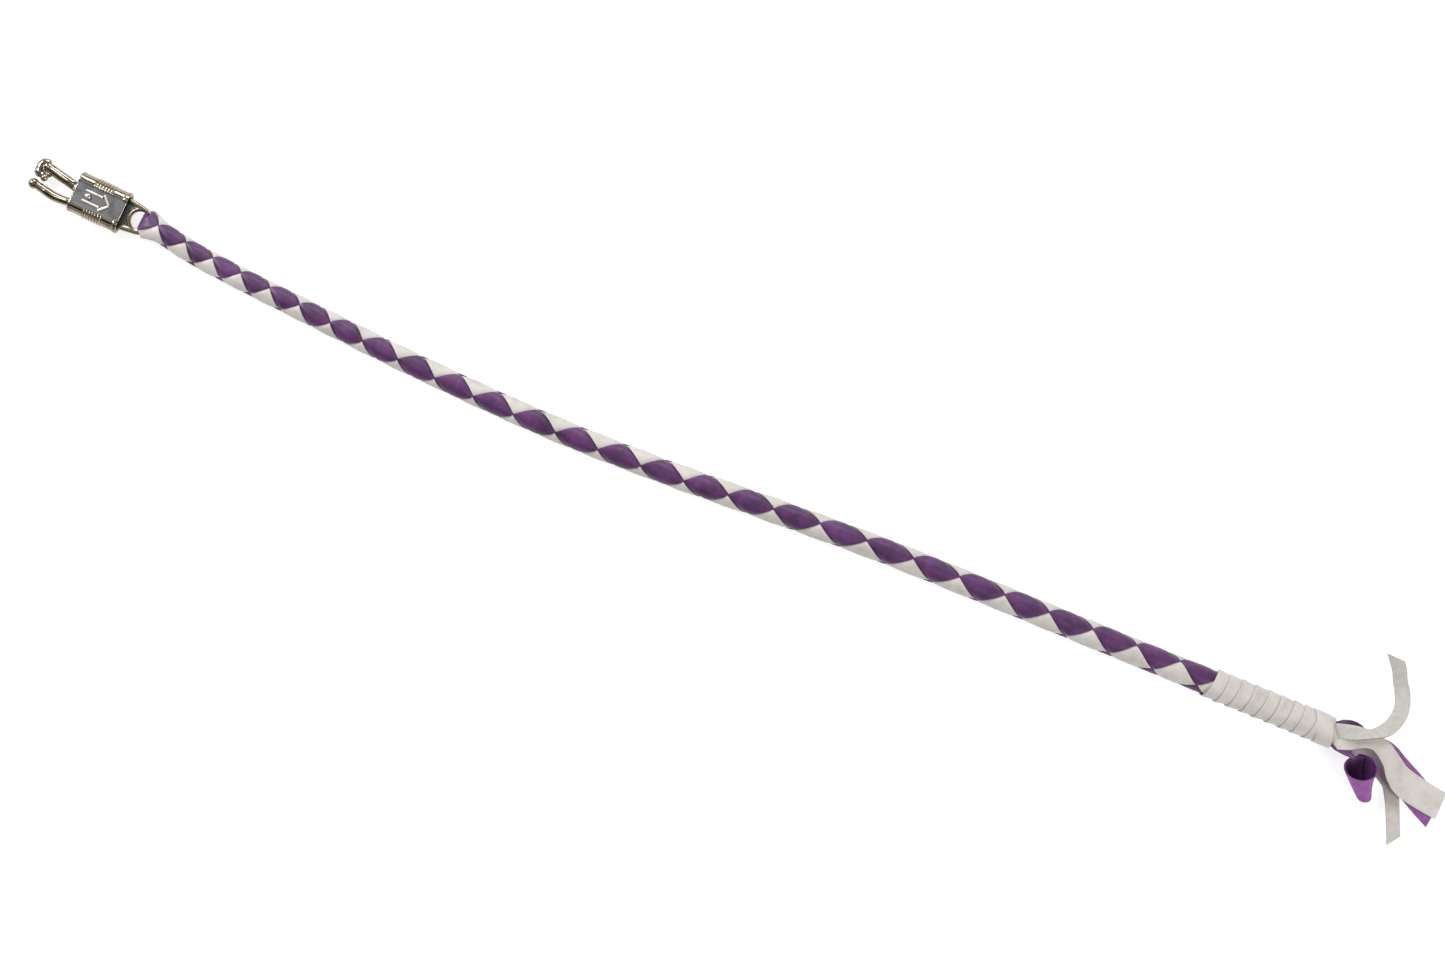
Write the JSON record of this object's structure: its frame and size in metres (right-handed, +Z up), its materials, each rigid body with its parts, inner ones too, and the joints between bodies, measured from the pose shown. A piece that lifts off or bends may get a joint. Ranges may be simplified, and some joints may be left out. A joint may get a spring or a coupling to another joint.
{
  "type": "riding crop",
  "caption": "Braided leather whip with a quick-release metal snap at one end and a loose lace tassel at the other.",
  "frame": {"origin": "below the middle of the whole part, on the surface that it lies on", "axes": "+X along the snap towards the tassel, +Z up from the surface"},
  "size_m": [1.0702, 0.1237, 0.0268],
  "materials": {
    "plated_metal": "nickel-plated die casting, lightly worn",
    "steel_pin": "bright steel",
    "spring_steel": "drawn spring wire",
    "core_cord": "braided cotton cord",
    "purple_leather": "smooth dyed lace leather",
    "white_leather": "smooth dyed lace leather",
    "thread": "waxed thread"
  },
  "bodies": {
    "root": {"snap_frame": "plated_metal", "jaw_pivot_pin": "steel_pin", "sleeve_spring": "spring_steel", "core_rope": "core_cord", "purple_lace": "purple_leather", "white_lace": "white_leather", "binding_thread": "thread", "wrap_lace": "white_leather"},
    "jaw": {"swing_jaw": "plated_metal"},
    "sleeve": {"release_sleeve": "plated_metal", "sleeve_rivet": "steel_pin"}
  },
  "joints": [
    {"name": "sleeve_slide", "type": "slide", "parent": "root", "child": "sleeve", "axis": [1, 0, 0], "range_m": [0, 0.01], "stiffness_N_per_m": 300, "springref_m": -0.01, "deforming": ["sleeve_spring"]},
    {"name": "jaw_swing", "type": "hinge", "parent": "root", "child": "jaw", "pos_m": [-0.4995, -0.0335, 0.007], "axis": [0, 0, -1], "range_deg": [0, 60]}
  ],
  "couplings": [
    {"joint": "jaw_swing", "follows": "sleeve_slide", "rad_per_m": 104.7}
  ]
}
